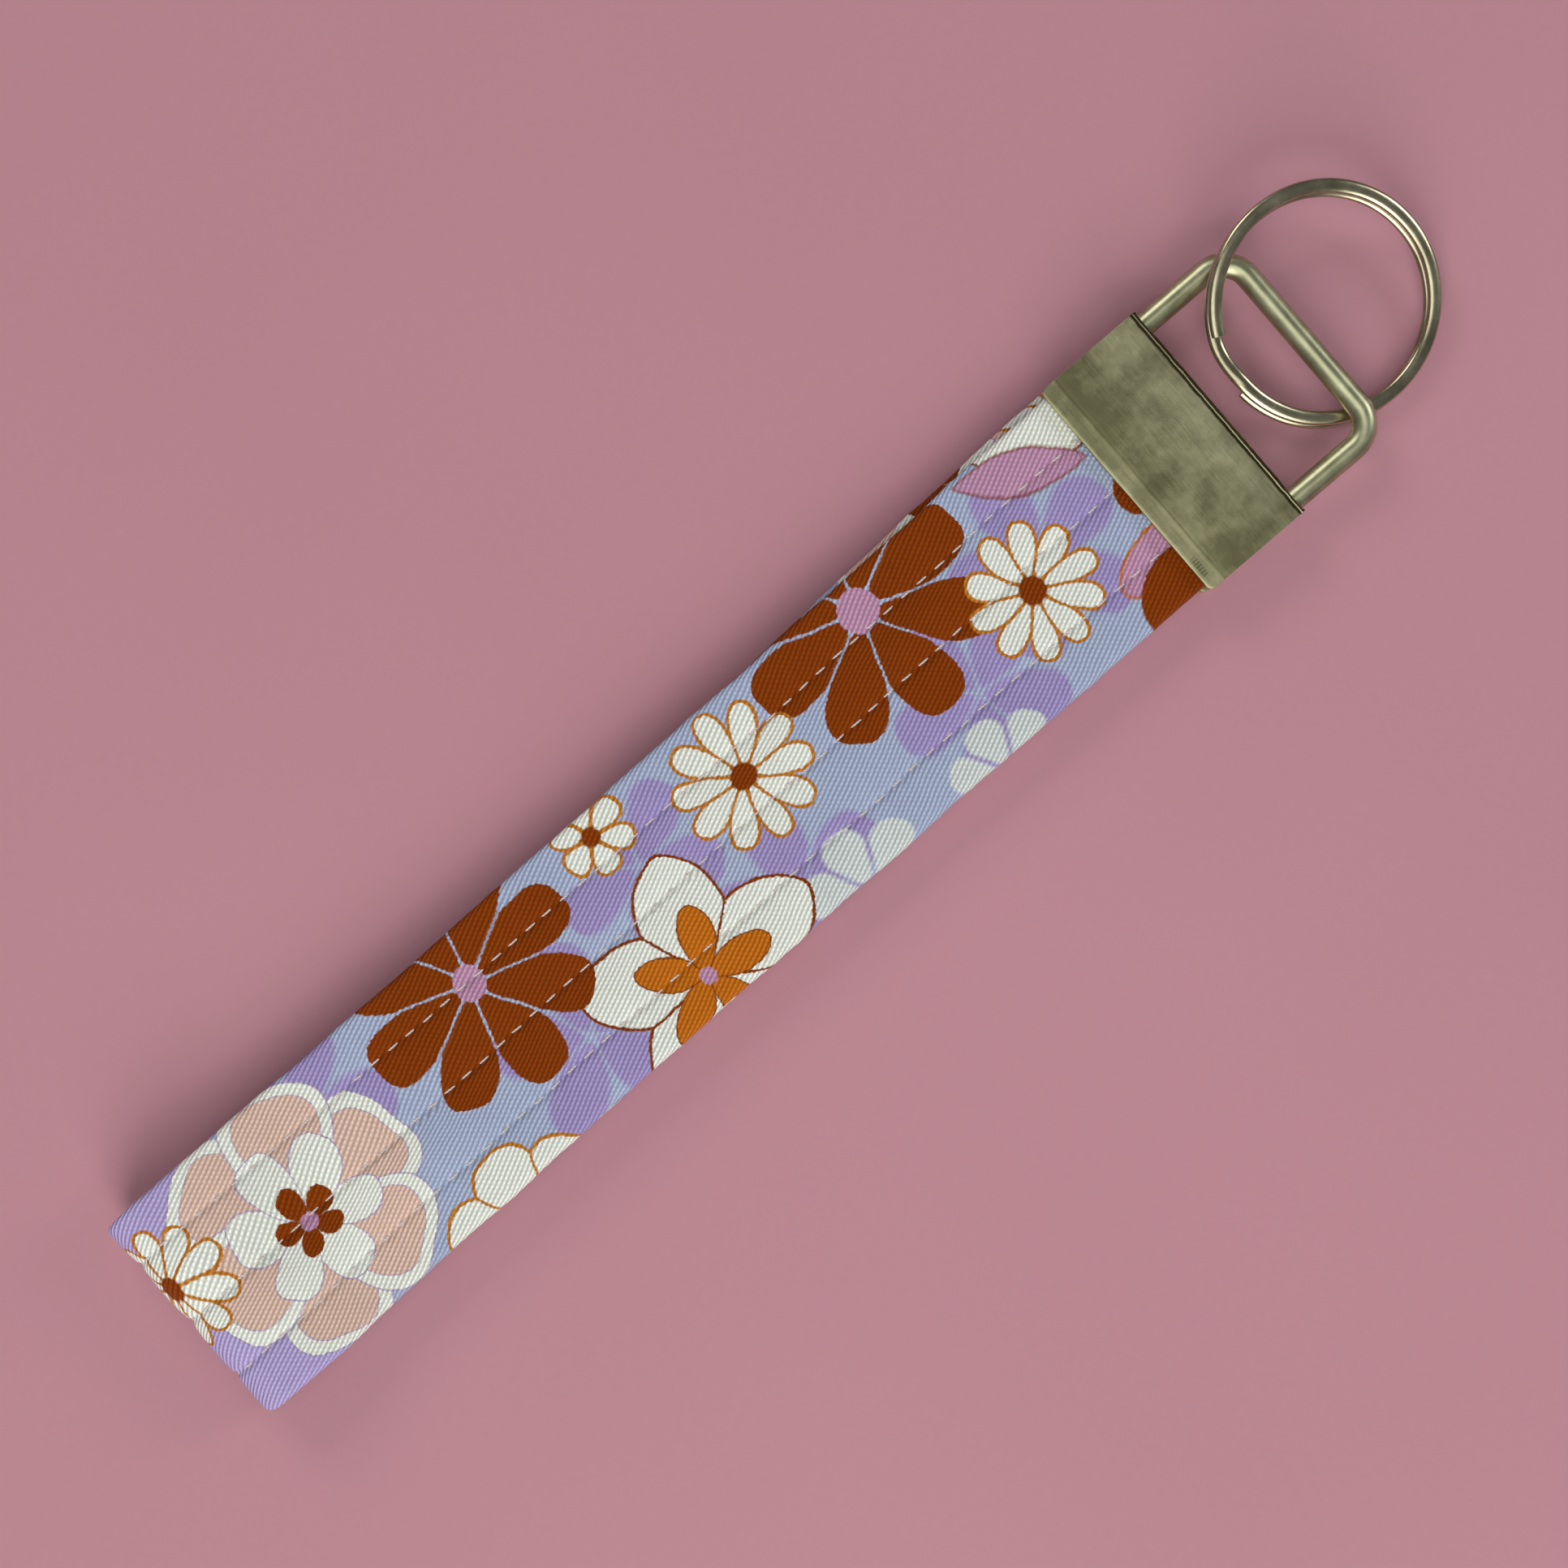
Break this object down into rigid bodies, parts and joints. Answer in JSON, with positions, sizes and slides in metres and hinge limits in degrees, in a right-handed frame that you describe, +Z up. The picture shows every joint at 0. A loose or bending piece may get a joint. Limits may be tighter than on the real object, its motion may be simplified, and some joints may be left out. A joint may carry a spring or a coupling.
{
  "type": "wristlet keychain",
  "caption": "Wristlet key fob: a folded, topstitched printed cotton strap held in a stamped metal clamp, with a hinged wire bail and a split ring.",
  "frame": {"origin": "under the middle of the whole object's box, on the surface that it lies on", "axes": "+X along the strap towards the ring, +Y across the strap, +Z up from the surface"},
  "size_m": [0.203, 0.034, 0.0093],
  "materials": {
    "nickel": "satin nickel plate with fine handling scratches",
    "printed_cotton": "cotton twill with a retro floral print",
    "interfacing": "off-white fusible interfacing",
    "thread": "pale sewing thread"
  },
  "bodies": {
    "clamp": {"clamp_shell": "nickel", "cover_front_tail": "printed_cotton", "cover_back_tail": "printed_cotton"},
    "bail": {"bail": "nickel"},
    "ring": {"split_ring": "nickel"},
    "strap_front_near": {"cover_front_near": "printed_cotton", "core_front_near": "interfacing", "topstitch_left_front_near": "thread", "topstitch_middle_front_near": "thread", "topstitch_right_front_near": "thread"},
    "strap_front_far": {"cover_front_far": "printed_cotton", "core_front_far": "interfacing", "topstitch_left_front_far": "thread", "topstitch_middle_front_far": "thread", "topstitch_right_front_far": "thread"},
    "strap_fold": {"cover_fold": "printed_cotton", "core_fold": "interfacing", "topstitch_left_fold": "thread", "topstitch_middle_fold": "thread", "topstitch_right_fold": "thread"},
    "strap_back_far": {"cover_back_far": "printed_cotton", "core_back_far": "interfacing", "topstitch_left_back_far": "thread", "topstitch_middle_back_far": "thread", "topstitch_right_back_far": "thread"},
    "strap_back_near": {"cover_back_near": "printed_cotton", "core_back_near": "interfacing", "topstitch_left_back_near": "thread", "topstitch_middle_back_near": "thread", "topstitch_right_back_near": "thread"}
  },
  "joints": [
    {"name": "loop_open", "type": "hinge", "parent": "clamp", "child": "strap_front_near", "pos_m": [0.05174, 0.00044, 0.00436], "axis": [-0.0162, 0.9999, 0], "range_deg": [0, 38]},
    {"name": "front_bend", "type": "hinge", "parent": "strap_front_near", "child": "strap_front_far", "pos_m": [-0.01225, -0.0006, 0.00496], "axis": [-0.0162, 0.9999, 0], "range_deg": [-76, 0]},
    {"name": "fold_turn_front", "type": "hinge", "parent": "strap_front_far", "child": "strap_fold", "pos_m": [-0.07624, -0.00163, 0.00557], "axis": [-0.0162, 0.9999, 0], "range_deg": [0, 38]},
    {"name": "fold_turn_back", "type": "hinge", "parent": "strap_fold", "child": "strap_back_far", "pos_m": [-0.07626, -0.00163, 0.00327], "axis": [-0.0162, 0.9999, 0], "range_deg": [0, 38]},
    {"name": "back_bend", "type": "hinge", "parent": "strap_back_far", "child": "strap_back_near", "pos_m": [-0.01227, -0.0006, 0.00266], "axis": [-0.0162, 0.9999, 0], "range_deg": [-76, 0]},
    {"name": "bail_hinge", "type": "hinge", "parent": "clamp", "child": "bail", "pos_m": [0.06513, 0.00046, 0.0032], "axis": [0, 1, 0], "range_deg": [-11, 20]},
    {"name": "ring_swing", "type": "hinge", "parent": "bail", "child": "ring", "pos_m": [0.08233, 0.00046, 0.0047], "axis": [0.1045, 0.9945, 0], "range_deg": [0, 115]}
  ],
  "couplings": [
    {"joint": "front_bend", "follows": "loop_open", "ratio": -2},
    {"joint": "fold_turn_front", "follows": "loop_open", "ratio": 1},
    {"joint": "fold_turn_back", "follows": "loop_open", "ratio": 1},
    {"joint": "back_bend", "follows": "loop_open", "ratio": -2}
  ]
}
